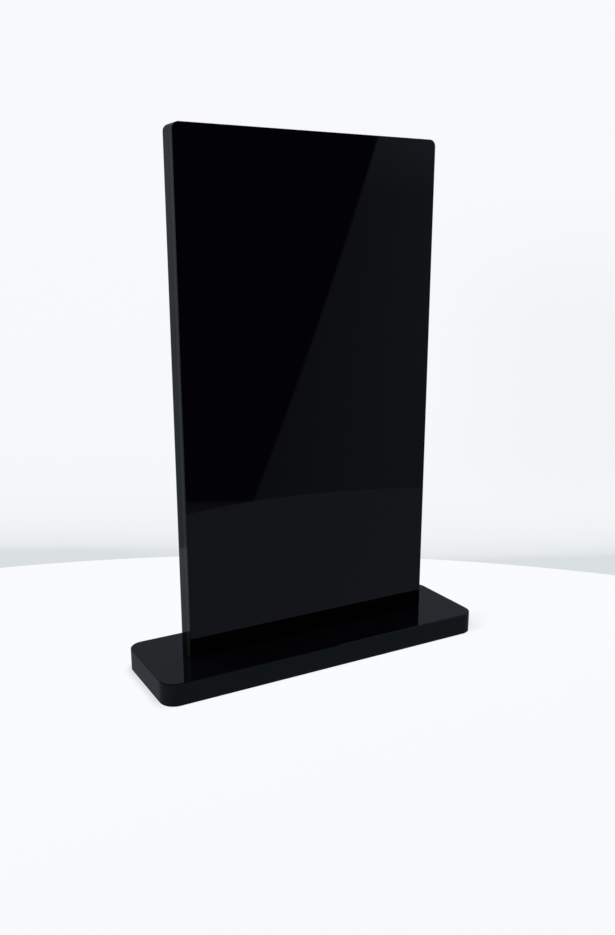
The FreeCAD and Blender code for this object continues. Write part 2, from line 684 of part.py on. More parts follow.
def key_switches():
    """Housings of the three tactile switches, each bored for its key's stem."""
    bore_y = SWITCH_BACK - 0.6 - KEY_TRAVEL - 0.1
    housings = []
    for z in KEYS.values():
        housing = box(KEY_X - 2.6, KEY_X + 2.6, KEY_BOARD_BACK, SWITCH_BACK, z - 2.6, z + 2.6)
        housings.append(housing.cut(rod_y(1.5, KEY_X, z, bore_y, SWITCH_BACK + 1)))
    return group(housings)


def key_board():
    """Narrow board that carries the switches and the lead's socket."""
    back = KEY_BOARD_BACK
    board = box(KEY_X - 5, KEY_X + 5, back - 1.0, back, KEYS["power"] - 10, KEYS["volume_up"] + 14)
    plug = box(KEY_X - 4, KEY_X + 3, back - 0.1, back + 2.0, KEYS["volume_up"] + 9.5, KEYS["volume_up"] + 14)
    board = join([board, plug])
    return cut_all(board, [rod_y(SMALL_PILOT, x, z, 0, back + 1) for x, z in KEY_BOARD_HOLES])


def key_cable():
    """Lead from the key board to the main board."""
    y = KEY_BOARD_BACK + 0.9
    end_y = BOARD_Y + BOARD_T + 1.0
    z = KEYS["volume_up"] + 14
    x = KEY_X - 1
    route = [(x, y, z), (x, y, z + 20), (x - 7, y, z + 52),
             (82, end_y, KEY_LEAD_Z - 8), (76, end_y, KEY_LEAD_Z), (SIDE_SOCKET_X, end_y, KEY_LEAD_Z)]
    return tube("key_cable", route, 0.7)


# ---------------------------------------------------------------- rear cover
def grille_seat(x, z, w, h):
    """Rebate for a grille plate and the smaller opening behind it."""
    rebate = box(x - w / 2, x + w / 2, REAR_Y - GRILLE_T, REAR_Y + 1, z - h / 2, z + h / 2)
    hole = box(x - w / 2 + GRILLE_LIP, x + w / 2 - GRILLE_LIP, COVER_INNER - 1, REAR_Y + 1,
               z - h / 2 + GRILLE_LIP, z + h / 2 - GRILLE_LIP)
    return rebate.makeFillet(GRILLE_CORNER, edges_along(rebate, "y")).fuse(hole)


def rear_cover():
    """Back shell with screw bosses, grille seats, the key bay and cut-outs at its foot."""
    front = SEAM_Y + SEAM_GAP / 2
    outer = panel_prism(0, front, REAR_Y)
    outer = outer.makeChamfer(SEAM_BREAK, edges_on(outer, "Y", front))
    round_edges = [e for e in edges_on(outer, "Y", REAR_Y) if e.BoundBox.ZMax > PANEL_Z0 + 1]
    outer = outer.makeFillet(REAR_ROUND, round_edges)
    shell = outer.cut(panel_prism(SHELL_WALL, front - 1, COVER_INNER))
    bosses = [rod_y(4.3, x, z, CHASSIS_BACK + 2.1, COVER_INNER + 0.5) for x, z in COVER_SCREWS]
    shell = join([shell] + bosses)
    cuts = [rod_y(3.1, x, z, REAR_Y - COVER_SCREW_SINK, REAR_Y + 1) for x, z in COVER_SCREWS]
    cuts += [rod_y(1.7, x, z, CHASSIS_BACK, REAR_Y + 1) for x, z in COVER_SCREWS]
    cuts += [grille_seat(0, VENT_Z, VENT_W, VENT_H)]
    cuts += [grille_seat(x, SPEAKER_Z, SPEAKER_W, SPEAKER_H) for x in (-SPEAKER_X, SPEAKER_X)]
    key_z0, key_z1 = min(KEYS.values()), max(KEYS.values())
    bay_y = REAR_Y - KEY_BAY_DEPTH
    ends = [rod_y(KEY_BAY_HALF, KEY_X, z, bay_y, REAR_Y + 1) for z in (key_z0, key_z1)]
    run = box(KEY_X - KEY_BAY_HALF, KEY_X + KEY_BAY_HALF, bay_y, REAR_Y + 1, key_z0, key_z1)
    cuts += [join([run] + ends)]
    cuts += [rod_y(KEY_HOLE_R, KEY_X, z, COVER_INNER - 1, REAR_Y + 1) for z in KEYS.values()]
    foot_z0, foot_z1 = PANEL_Z0 - 1, PANEL_Z0 + SHELL_WALL + 0.5
    cuts += [box(-SPINE_HALF - 0.8, LOOM_X + 3, -2, LOOM_Y + LOOM_R + 0.5, foot_z0, foot_z1)]
    return cut_all(shell, cuts)


def rear_cover_screws():
    length = 7.9
    screw = pan_screw(1.42, 2.7, 1.8, length, 2.0)
    return group([along_y(screw, x, REAR_Y - COVER_SCREW_SINK - length, z) for x, z in COVER_SCREWS])


def slotted_plate(x, z, w, h):
    plate = box(x - w / 2 + GRILLE_FIT, x + w / 2 - GRILLE_FIT, REAR_Y - GRILLE_T, REAR_Y,
                z - h / 2 + GRILLE_FIT, z + h / 2 - GRILLE_FIT)
    return plate.makeFillet(GRILLE_CORNER - GRILLE_FIT, edges_along(plate, "y"))


def vent_grille():
    """Plate with a row of round-ended slots."""
    plate = slotted_plate(0, VENT_Z, VENT_W, VENT_H)
    count, pitch, slot_w, slot_h = 23, 5.6, 2.6, 24.0
    slots = []
    for i in range(count):
        x = (i - (count - 1) / 2) * pitch
        half = slot_h / 2 - slot_w / 2
        z0, z1 = VENT_Z - half, VENT_Z + half
        slots.append(join([box(x - slot_w / 2, x + slot_w / 2, REAR_Y - 2, REAR_Y + 1, z0, z1),
                           rod_y(slot_w / 2, x, z0, REAR_Y - 2, REAR_Y + 1),
                           rod_y(slot_w / 2, x, z1, REAR_Y - 2, REAR_Y + 1)]))
    return cut_all(plate, slots)


def speaker_grille(x):
    """Plate with staggered round holes."""
    plate = slotted_plate(x, SPEAKER_Z, SPEAKER_W, SPEAKER_H)
    pitch, rows = 2.9, 4
    holes = []
    for row in range(rows):
        count = 11 if row % 2 else 12
        z = SPEAKER_Z + (row - (rows - 1) / 2) * pitch * 0.95
        first = x - (count - 1) / 2 * pitch
        holes += [rod_y(0.85, first + i * pitch, z, REAR_Y - 2, REAR_Y + 1) for i in range(count)]
    return cut_all(plate, holes)


def dust_meshes():
    """Woven screens laid behind the vent and speaker grilles."""
    screens = []
    for x, z, w, h in ((0, VENT_Z, VENT_W, VENT_H), (-SPEAKER_X, SPEAKER_Z, SPEAKER_W, SPEAKER_H),
                       (SPEAKER_X, SPEAKER_Z, SPEAKER_W, SPEAKER_H)):
        inset = GRILLE_LIP + 0.2
        screens.append(box(x - w / 2 + inset, x + w / 2 - inset, REAR_Y - GRILLE_T - 0.3, REAR_Y - GRILLE_T,
                           z - h / 2 + inset, z + h / 2 - inset))
    return group(screens)


# ---------------------------------------------------------------- upright bracket and loom
def spine_bracket():
    """Folded steel angle: its foot bolts to the ballast and its blade carries the slab."""
    back = CHASSIS_BACK + SPINE_T
    blade = box(-SPINE_HALF, SPINE_HALF, CHASSIS_BACK, back, BALLAST_Z1, SPINE_TOP)
    flange = box(-SPINE_HALF, SPINE_HALF, FLANGE_FRONT, back, BALLAST_Z1, BALLAST_Z1 + FLANGE_T)
    bracket = join([blade, flange])
    heel = [edge for edge in edges_on(bracket, "Y", back) if abs(edge.BoundBox.ZMax - BALLAST_Z1) < 1e-4]
    bracket = bracket.makeFillet(2.5, heel)
    holes = [rod_y(2.2, x, z, CHASSIS_BACK - 1, back + 1) for x, z in SPINE_SCREWS]
    holes += [rod_z(2.4, x, y, BALLAST_Z1 - 1, BALLAST_Z1 + FLANGE_T + 1) for x, y in FLANGE_BOLTS]
    return cut_all(bracket, holes)


def spine_screws():
    length = SPINE_T + 1.3
    screw = pan_screw(1.92, 3.5, 2.2, length, 2.5)
    return group([along_y(screw, x, CHASSIS_BACK + SPINE_T - length, z) for x, z in SPINE_SCREWS])


def flange_bolts():
    """Countersunk bolts up through the ballast into the bracket's foot."""
    bolt = flat_screw(2.32, 4.8, 2.6, BALLAST_T + FLANGE_T - 0.2, 3.0)
    return group([moved(bolt, x, y, PLATE_Z1 + 0.32) for x, y in FLANGE_BOLTS])


def main_loom():
    """Supply and data lead from the base up through the slab's foot to the main board."""
    low = IO_Z1 + 3.0
    route = [(IO_HEADER_X1, 20, low), (IO_HEADER_X1 + 8, 20, low), (LOOM_X, 14, low), (LOOM_X, LOOM_Y, low),
             (LOOM_X, LOOM_Y, BOARD_Z0 - 32), (SUPPLY_X, LOOM_Y, BOARD_Z0 - 14),
             (SUPPLY_X, LOOM_Y, LOW_SOCKET_Z)]
    return tube("main_loom", route, LOOM_R)


# ---------------------------------------------------------------- base
def upright_seal():
    """Thin black seal under the slab."""
    pad = box(-PANEL_W / 2 + 1, PANEL_W / 2 - 1, FRONT_Y + 1, REAR_Y - 1, BASE_TOP, PANEL_Z0)
    return cut_all(pad, roof_cuts(BASE_TOP - 1, PANEL_Z0 + 1))


def roof_cuts(z0, z1):
    """Openings that the bracket's blade and the loom pass through."""
    half_x, y0, y1 = SPINE_HALF + 0.8, CHASSIS_BACK - 0.4, CHASSIS_BACK + SPINE_T + 0.4
    return [box(-half_x, half_x, y0, y1, z0, z1), rod_z(LOOM_R + 0.9, LOOM_X, LOOM_Y, z0, z1)]


def base_cover():
    """Gloss shell of the base, with the cable bay in its back."""
    z0 = FOOT_SHOW
    outer = base_prism(0, z0, BASE_TOP)
    outer = outer.makeChamfer(BASE_TOP_BREAK, edges_on(outer, "Z", BASE_TOP))
    outer = outer.makeChamfer(BASE_FOOT_BREAK, edges_on(outer, "Z", z0))
    shell = outer.cut(base_prism(BASE_WALL, z0 - 1, ROOF_Z))
    half_y = BASE_D / 2
    block_half = BAY_HALF + BAY_WALL
    bay_block = box(-block_half, block_half, BAY_BACK - BAY_WALL, half_y - 1, PLATE_Z1, ROOF_Z + 0.5)
    bosses = [rod_z(3.5, x, y, PLATE_Z1, ROOF_Z + 0.5) for x, y in BASE_BOSSES]
    shell = join([shell, bay_block] + bosses)
    bay = box(-BAY_HALF, BAY_HALF, BAY_BACK, half_y + 1, PLATE_Z1, BAY_Z1)
    cuts = [bay] + roof_cuts(ROOF_Z - 1, BASE_TOP + 1)
    cuts += [rod_z(1.5, x, y, 0, PLATE_Z1 + 6.4) for x, y in BASE_BOSSES]
    wall_y0, wall_y1 = BAY_BACK - BAY_WALL - 1, BAY_BACK + 1
    cuts += [rod_y(4.1, DC_X, PORT_Z, wall_y0, wall_y1)]
    cuts += [oval(USB_C_X, PORT_Z, 9.5, 3.7, wall_y0, wall_y1)]
    cuts += [box(USB_A_X - 6.9, USB_A_X + 6.9, wall_y0, wall_y1, IO_Z1 - 0.1, IO_Z1 + 6.9)]
    cuts += [oval(SECURITY_X, PORT_Z, 7.0, 3.0, half_y - BASE_WALL - 1, half_y + 1)]
    return cut_all(shell, cuts)


def security_plate():
    """Steel plate behind the lock slot."""
    y1 = BASE_D / 2 - BASE_WALL
    plate = box(SECURITY_X - 11, SECURITY_X + 11, y1 - 1.5, y1, PLATE_Z1 + 0.1, ROOF_Z - 0.1)
    return plate.cut(oval(SECURITY_X, PORT_Z, 7.2, 3.2, y1 - 3, y1 + 1))


def ballast_plate():
    """Steel weight, cut away for the sockets, with four tapped holes for bolting the kiosk down."""
    plate = base_prism(BALLAST_INSET, PLATE_Z1, BALLAST_Z1)
    z0, z1 = PLATE_Z1 - 1, BALLAST_Z1 + 1
    cuts = [box(-60, 62, 9.5, BASE_D, z0, z1), box(51, 62, -2, 10, z0, z1)]
    cuts += [rod_z(4.0, x, y, z0, z1) for x, y in BASE_BOSSES]
    cuts += [rod_z(2.6, x, y, z0, z1) for x, y in FLANGE_BOLTS]
    cuts += [Part.makeCone(5.1, 2.6, 2.7, V(x, y, PLATE_Z1)) for x, y in FLANGE_BOLTS]
    cuts += [rod_z(2.1, x, y, z0, z1) for x, y in BOLT_DOWN]
    return cut_all(plate, cuts)


def bottom_plate():
    """Sheet steel floor of the base, with pressed-in studs for the socket board."""
    plate = base_prism(PLATE_INSET, PLATE_Z0, PLATE_Z1)
    plate = join([plate] + [rod_z(2.5, x, y, PLATE_Z1 - 0.3, IO_Z0) for x, y in IO_HOLES])
    z0, z1 = PLATE_Z0 - 1, PLATE_Z1 + 1
    cuts = [rod_z(1.7, x, y, z0, z1) for x, y in BASE_BOSSES]
    cuts += [Part.makeCone(3.0, 1.7, 1.3, V(x, y, PLATE_Z0)) for x, y in BASE_BOSSES]
    cuts += [rod_z(3.2, x, y, z0, z1) for x, y in BOLT_DOWN]
    cuts += [rod_z(SMALL_PILOT, x, y, PLATE_Z0 + 0.6, IO_Z0 + 1) for x, y in IO_HOLES]
    return cut_all(plate, cuts)


def base_screws():
    screw = flat_screw(1.42, 2.75, 1.3, 7.4, 2.0)
    return group([moved(screw, x, y, PLATE_Z0 + 0.25) for x, y in BASE_BOSSES])


def rubber_feet():
    """Stick-on feet with a shallow ring groove underneath."""
    feet = []
    for x, y in FEET:
        foot = rod_z(8.0, x, y, 0, PLATE_Z0)
        foot = foot.makeFillet(0.5, edges_on(foot, "Z", 0))
        groove = rod_z(5.6, x, y, -1, 0.3).cut(rod_z(4.8, x, y, -2, 1))
        feet.append(foot.cut(groove))
    return group(feet)


# ---------------------------------------------------------------- sockets in the base
def io_board():
    """Board behind the sockets, with the header that the loom leaves from."""
    board = box(-IO_HALF, IO_HALF, IO_FRONT, IO_REAR, IO_Z0, IO_Z1)
    notch = box(DC_X - 7, DC_X + 7, 15, IO_REAR + 1, IO_Z0 - 1, IO_Z1 + 1)
    header = box(IO_HEADER_X1 - 3.5, IO_HEADER_X1, 17, 23, IO_Z1 - 0.1, IO_Z1 + 5.2)
    board = join([board.cut(notch), header])
    return cut_all(board, [rod_z(SMALL_PILOT, x, y, IO_Z0 - 1, IO_Z1 + 1) for x, y in IO_HOLES])


def dc_socket():
    """Panel-mounted low-voltage inlet: a threaded barrel with a flange behind the wall."""
    wall_in = BAY_BACK - BAY_WALL
    barrel = rod_y(3.95, DC_X, PORT_Z, 20, BAY_BACK + 2.6)
    barrel = barrel.makeChamfer(0.4, edges_on(barrel, "Y", BAY_BACK + 2.6))
    flange = rod_y(5.2, DC_X, PORT_Z, wall_in - 1.6, wall_in)
    body = join([barrel, flange])
    body = body.cut(rod_y(2.85, DC_X, PORT_Z, BAY_BACK - 7, BAY_BACK + 4))
    pin = rod_y(1.05, DC_X, PORT_Z, BAY_BACK - 7.5, BAY_BACK + 1.6)
    pin = pin.makeFillet(0.6, edges_on(pin, "Y", BAY_BACK + 1.6))
    return join([body, pin])


def dc_socket_nut():
    nut = along_y(hex_prism(10.0, 2.0), DC_X, BAY_BACK, PORT_Z)
    nut = nut.common(rod_y(5.6, DC_X, PORT_Z, BAY_BACK, BAY_BACK + 3))
    return nut.cut(rod_y(4.0, DC_X, PORT_Z, BAY_BACK - 1, BAY_BACK + 4))


def usb_a_socket():
    """Folded metal shell with its contact tongue."""
    y0, y1 = BAY_BACK - 14, BAY_BACK - 0.2
    z0, z1 = IO_Z1, IO_Z1 + 6.6
    shell = box(USB_A_X - 6.6, USB_A_X + 6.6, y0, y1, z0, z1)
    shell = shell.cut(box(USB_A_X - 6.25, USB_A_X + 6.25, y0 + 4, y1 + 1, z0 + 0.35 + 0.4, z1 - 0.35))
    tongue = box(USB_A_X - 5.6, USB_A_X + 5.6, y0 + 3.5, y1 - 1.2, z1 - 2.9, z1 - 1.1)
    return join([shell, tongue])


def usb_c_socket():
    """Oval metal shell with a thin tongue, raised on a block."""
    y0, y1 = BAY_BACK - 9, BAY_BACK - 0.2
    shell = oval(USB_C_X, PORT_Z, 8.9, 3.2, y0, y1).cut(oval(USB_C_X, PORT_Z, 8.3, 2.6, y0 + 2, y1 + 1))
    tongue = box(USB_C_X - 3.3, USB_C_X + 3.3, y0 + 1.5, y1 - 0.8, PORT_Z - 0.35, PORT_Z + 0.35)
    block = box(USB_C_X - 4.4, USB_C_X + 4.4, y0, IO_REAR - 0.3, IO_Z1, PORT_Z - 1.4)
    return join([shell, tongue, block])


# ---------------------------------------------------------------- output
NODES = {
    "cover_glass": cover_glass,
    "touch_sensor": touch_sensor,
    "touch_flex": touch_flex,
    "glass_bonding_tape": bonding_tape,
    "front_frame": front_frame,
    "display_gasket": display_gasket,
    "lcd_cell": lcd_cell,
    "optical_films": optical_films,
    "light_guide": light_guide,
    "backlight_strip": backlight_strip,
    "backlight_reflector": backlight_reflector,
    "lcd_tray": lcd_tray,
    "display_flexes": display_flexes,
    "display_driver_board": display_driver_board,
    "display_ribbon": display_ribbon,
    "chassis_plate": chassis_plate,
    "small_screws": small_screws,
    "main_board": main_board,
    "processor": processor,
    "heat_spreader": heat_spreader,
    "memory_chips": memory_chips,
    "board_connectors": board_connectors,
    "radio_module": radio_module,
    "antennas": antennas,
    "antenna_cables": antenna_cables,
    "touch_board": touch_board,
    "touch_cable": touch_cable,
    "speaker_left": lambda: speaker_body(-SPEAKER_X),
    "speaker_right": lambda: speaker_body(SPEAKER_X),
    "speaker_cones": speaker_cones,
    "speaker_gaskets": speaker_gaskets,
    "speaker_cables": speaker_cables,
    "key_board": key_board,
    "key_switches": key_switches,
    "key_cable": key_cable,
    "power_key": lambda: key_cap("power"),
    "volume_down_key": lambda: key_cap("volume_down"),
    "volume_up_key": lambda: key_cap("volume_up"),
    "rear_cover": rear_cover,
    "rear_cover_screws": rear_cover_screws,
    "vent_grille": vent_grille,
    "speaker_grille_left": lambda: speaker_grille(-SPEAKER_X),
    "speaker_grille_right": lambda: speaker_grille(SPEAKER_X),
    "dust_meshes": dust_meshes,
    "spine_bracket": spine_bracket,
    "spine_screws": spine_screws,
    "flange_bolts": flange_bolts,
    "main_loom": main_loom,
    "upright_seal": upright_seal,
    "base_cover": base_cover,
    "security_plate": security_plate,
    "ballast_plate": ballast_plate,
    "bottom_plate": bottom_plate,
    "base_screws": base_screws,
    "rubber_feet": rubber_feet,
    "io_board": io_board,
    "dc_socket": dc_socket,
    "dc_socket_nut": dc_socket_nut,
    "usb_a_socket": usb_a_socket,
    "usb_c_socket": usb_c_socket,
}


def export(name, make):
    shape = make()
    solids = shape.Solids
    sound = all(s.isValid() and s.Volume > 0 for s in solids)
    print(f"{name}: {len(solids)} solid(s), valid {sound}, volume {sum(s.Volume for s in solids):.1f}")
    shape.exportStep(f"parts/{name}.step")


def main():
    os.makedirs("parts", exist_ok=True)
    for name, make in NODES.items():
        export(name, make)


main()
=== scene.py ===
"""Looks for the tabletop touchscreen kiosk: materials for every CAD node, woven dust screens and
socket contacts, and a pale round table in a pale studio. Metres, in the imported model's own frame."""

import json
import math

import bmesh
import bpy
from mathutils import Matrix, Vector


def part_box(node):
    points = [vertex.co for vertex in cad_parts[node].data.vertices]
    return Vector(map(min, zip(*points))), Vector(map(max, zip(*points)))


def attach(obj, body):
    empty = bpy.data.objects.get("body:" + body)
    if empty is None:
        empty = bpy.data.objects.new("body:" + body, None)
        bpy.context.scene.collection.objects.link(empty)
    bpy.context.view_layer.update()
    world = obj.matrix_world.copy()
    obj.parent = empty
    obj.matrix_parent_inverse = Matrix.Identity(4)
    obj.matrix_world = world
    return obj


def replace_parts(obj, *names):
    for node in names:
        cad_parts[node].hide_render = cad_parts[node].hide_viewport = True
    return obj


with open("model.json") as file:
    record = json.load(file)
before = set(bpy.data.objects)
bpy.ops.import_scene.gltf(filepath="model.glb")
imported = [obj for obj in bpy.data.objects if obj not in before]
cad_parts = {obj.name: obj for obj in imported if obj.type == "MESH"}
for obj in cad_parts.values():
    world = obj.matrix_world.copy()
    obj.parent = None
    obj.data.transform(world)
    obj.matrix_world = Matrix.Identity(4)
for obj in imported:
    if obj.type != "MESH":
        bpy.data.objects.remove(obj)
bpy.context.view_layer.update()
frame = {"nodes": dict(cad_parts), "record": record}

MM = 0.001


# ---------------------------------------------------------------- node helpers
class Nodes:
    """Short calls for building a node tree."""

    def __init__(self, tree):
        self.tree = tree
        tree.nodes.clear()

    def add(self, kind, inputs=None, **settings):
        node = self.tree.nodes.new(kind)
        for name, value in settings.items():
            setattr(node, name, value)
        for name, value in (inputs or {}).items():
            socket = node.inputs[name]
            if isinstance(value, bpy.types.NodeSocket):
                self.tree.links.new(value, socket)
            else:
                socket.default_value = value
        return node

    def math(self, operation, a, b=0.0, clamp=False):
        node = self.add("ShaderNodeMath", {0: a, 1: b}, operation=operation, use_clamp=clamp)
        return node.outputs[0]

    def remap(self, value, low, high, to_low=0.0, to_high=1.0, smooth=False):
        inputs = {"Value": value, "From Min": low, "From Max": high, "To Min": to_low, "To Max": to_high}
        node = self.add("ShaderNodeMapRange", inputs, interpolation_type="SMOOTHSTEP" if smooth else "LINEAR")
        return node.outputs["Result"]

    def mix(self, factor, a, b):
        node = self.add("ShaderNodeMix", data_type="RGBA")
        for socket, value in zip((node.inputs[0], node.inputs[6], node.inputs[7]), (factor, a, b)):
            if isinstance(value, bpy.types.NodeSocket):
                self.tree.links.new(value, socket)
            else:
                socket.default_value = value
        return node.outputs[2]

    def ramp(self, value, stops):
        """A colour ramp through (position, colour) stops."""
        node = self.add("ShaderNodeValToRGB", {"Fac": value})
        elements = node.color_ramp.elements
        while len(elements) < len(stops):
            elements.new(0.5)
        for element, (position, colour) in zip(elements, stops):
            element.position = position
            element.color = rgba(colour)
        return node.outputs["Color"]

    def link(self, output, socket):
        self.tree.links.new(output, socket)


def rgba(colour):
    return (*colour[:3], 1.0)


def scaled(colour, k):
    return rgba([min(1.0, c * k) for c in colour[:3]])


def new_material(name):
    made = bpy.data.materials.new(name)
    made.use_nodes = True
    return made, Nodes(made.node_tree)


ROUGH_SPREAD = 0.15         # how far a surface's roughness strays from its mean


def finish_surface(name, colour, roughness, metallic=0.0, tone=0.08, tone_scale=90.0,
                   grain=0.0, grain_scale=2500.0, stretch=(1.0, 1.0, 1.0), alpha=1.0):
    """A surface whose colour, roughness and relief all vary through the noise of its own finish."""
    made, n = new_material(name)
    place = n.add("ShaderNodeTexCoord").outputs["Object"]
    placed = n.add("ShaderNodeMapping", {"Vector": place, "Scale": stretch}).outputs["Vector"]
    broad = n.add("ShaderNodeTexNoise", {"Vector": placed, "Scale": tone_scale, "Detail": 4.0}).outputs["Fac"]
    fine = n.add("ShaderNodeTexNoise", {"Vector": placed, "Scale": grain_scale, "Detail": 2.0}).outputs["Fac"]
    shade = n.mix(broad, scaled(colour, 1.0 - tone), scaled(colour, 1.0 + tone))
    rough = n.remap(broad, 0.3, 0.7, roughness * (1.0 - ROUGH_SPREAD), roughness * (1.0 + ROUGH_SPREAD))
    inputs = {"Base Color": shade, "Roughness": rough, "Metallic": metallic, "IOR": 1.5, "Alpha": alpha}
    if grain:
        relief = n.add("ShaderNodeBump", {"Height": fine, "Strength": 1.0, "Distance": grain})
        inputs["Normal"] = relief.outputs[0]
    shader = n.add("ShaderNodeBsdfPrincipled", inputs)
    n.link(shader.outputs[0], n.add("ShaderNodeOutputMaterial").inputs["Surface"])
    return made


# ---------------------------------------------------------------- materials, by the record's slots
SURFACES = {
    "glass_black": dict(colour=(0.0004, 0.0004, 0.0005), roughness=0.010, tone=0.2, tone_scale=25.0),
    "gloss_black": dict(colour=(0.0013, 0.0013, 0.0019), roughness=0.022, tone=0.2, tone_scale=40.0),
    "frame_black": dict(colour=(0.0092, 0.0088, 0.0088), roughness=0.022, tone=0.1, tone_scale=40.0),
    "matte_black": dict(colour=(0.020, 0.020, 0.021), roughness=0.46, grain=0.00010, grain_scale=3600.0),
    "steel": dict(colour=(0.50, 0.51, 0.52), roughness=0.30, metallic=1.0, grain=0.00001, stretch=(1, 1, 24)),
    "black_steel": dict(colour=(0.022, 0.022, 0.024), roughness=0.34, metallic=0.6, grain=0.00002),
    "aluminium": dict(colour=(0.66, 0.67, 0.68), roughness=0.36, metallic=1.0, grain=0.00001,
                      stretch=(18, 1, 1)),
    "board_green": dict(colour=(0.012, 0.11, 0.045), roughness=0.30, tone=0.25, tone_scale=500.0),
    "board_blue": dict(colour=(0.012, 0.035, 0.11), roughness=0.30, tone=0.25, tone_scale=500.0),
    "chip_black": dict(colour=(0.018, 0.018, 0.020), roughness=0.50, grain=0.00001),
    "connector_cream": dict(colour=(0.70, 0.66, 0.54), roughness=0.42, grain=0.00001),
    "foam": dict(colour=(0.022, 0.022, 0.022), roughness=0.95, grain=0.00008, grain_scale=3200.0),
    "rubber": dict(colour=(0.016, 0.016, 0.016), roughness=0.72, grain=0.00004, grain_scale=2600.0),
    "cell_dark": dict(colour=(0.010, 0.010, 0.013), roughness=0.12),
    "film_white": dict(colour=(0.80, 0.81, 0.83), roughness=0.40),
    "clear_acrylic": dict(colour=(0.80, 0.86, 0.88), roughness=0.05, alpha=0.35),
    "film_amber": dict(colour=(0.48, 0.22, 0.03), roughness=0.28, tone=0.15),
    "touch_clear": dict(colour=(0.75, 0.78, 0.80), roughness=0.05, alpha=0.35),
    "lead_black": dict(colour=(0.018, 0.018, 0.018), roughness=0.55, grain=0.00002),
    "lead_grey": dict(colour=(0.18, 0.18, 0.19), roughness=0.50, grain=0.00002),
    "mesh_black": dict(colour=(0.012, 0.012, 0.012), roughness=0.40, metallic=0.5),
    "brass": dict(colour=(0.70, 0.52, 0.22), roughness=0.22, metallic=1.0),
    "chrome": dict(colour=(0.68, 0.68, 0.69), roughness=0.16, metallic=1.0),
    "mark_grey": dict(colour=(0.36, 0.36, 0.37), roughness=0.55, grain=0.00001),
    "contact_gold": dict(colour=(0.80, 0.57, 0.20), roughness=0.20, metallic=1.0, tone_scale=600.0),
}
materials = {slot: finish_surface(slot, **look) for slot, look in SURFACES.items()}

slot_of = {part["node"]: part["material_slot"] for part in frame["record"]["subparts"]}
for node, piece in frame["nodes"].items():
    piece.data.materials.clear()
    piece.data.materials.append(materials[slot_of[node]])


# ---------------------------------------------------------------- mesh helpers
def mesh_object(name, vertices, faces, material):
    mesh = bpy.data.meshes.new(name)
    mesh.from_pydata([tuple(v) for v in vertices], [], faces)
    mesh.update()
    piece = bpy.data.objects.new(name, mesh)
    bpy.context.scene.collection.objects.link(piece)
    mesh.materials.append(material)
    return piece


def prism(shape, outline, axis, low, high):
    """Adds a straight prism to a bmesh. The outline holds (x, z) pairs along Y, or (y, z) pairs along X."""
    def at(a, b, level):
        return (a, level, b) if axis == "Y" else (level, a, b)
    count = len(outline)
    near = [shape.verts.new(at(a, b, low)) for a, b in outline]
    far = [shape.verts.new(at(a, b, high)) for a, b in outline]
    shape.faces.new(near)
    shape.faces.new(far)
    for i in range(count):
        j = (i + 1) % count
        shape.faces.new((near[i], near[j], far[j], far[i]))


def rectangle(a0, a1, b0, b1):
    return [(a0, b0), (a1, b0), (a1, b1), (a0, b1)]


def rounded_box(shape, low, high, radius):
    """Adds a box with rounded edges to a bmesh."""
    made = bmesh.ops.create_cube(shape, size=1.0)["verts"]
    for vert in made:
        vert.co = Vector([(a + b) / 2 + c * (b - a) for a, b, c in zip(low, high, vert.co)])
    edges = list({edge for vert in made for edge in vert.link_edges})
    bmesh.ops.bevel(shape, geom=edges, offset=radius, segments=2, affect="EDGES", profile=0.5)


WIRE_SIDES = 6


def wire(shape, points, across, half_width, half_depth):
    """Adds a closed, flattened wire to a bmesh. across is a direction square to the wire all along it."""
    rings = []
    for i, point in enumerate(points):
        along = (points[min(i + 1, len(points) - 1)] - points[max(i - 1, 0)]).normalized()
        wide, deep = across * half_width, along.cross(across) * half_depth
        turns = [2 * math.pi * k / WIRE_SIDES for k in range(WIRE_SIDES)]
        rings.append([shape.verts.new(point + wide * math.cos(t) + deep * math.sin(t)) for t in turns])
    for first, second in zip(rings, rings[1:]):
        for k in range(WIRE_SIDES):
            j = (k + 1) % WIRE_SIDES
            shape.faces.new((first[k], first[j], second[j], second[k])).smooth = True
    shape.faces.new(rings[0])
    shape.faces.new(rings[-1])


def finished_piece(name, shape, slot, body):
    """The bmesh as a piece of the object, in a material slot's finish and riding on a body."""
    bmesh.ops.recalc_face_normals(shape, faces=shape.faces)
    mesh = bpy.data.meshes.new(name)
    shape.to_mesh(mesh)
    shape.free()
    mesh.materials.append(materials[slot])
    piece = bpy.data.objects.new(name, mesh)
    bpy.context.scene.collection.objects.link(piece)
    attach(piece, body)
    return piece


# ---------------------------------------------------------------- dust screens
WIRE_PITCH = 1.3 * MM
WIRE_HALF_WIDTH = 0.30 * MM
WIRE_HALF_DEPTH = 0.075 * MM
SCREEN_INSET = 2.0 * MM     # from a grille plate's edge to its screen's edge
SCREEN_BORDER = 1.2 * MM
GRILLES = ("vent_grille", "speaker_grille_left", "speaker_grille_right")


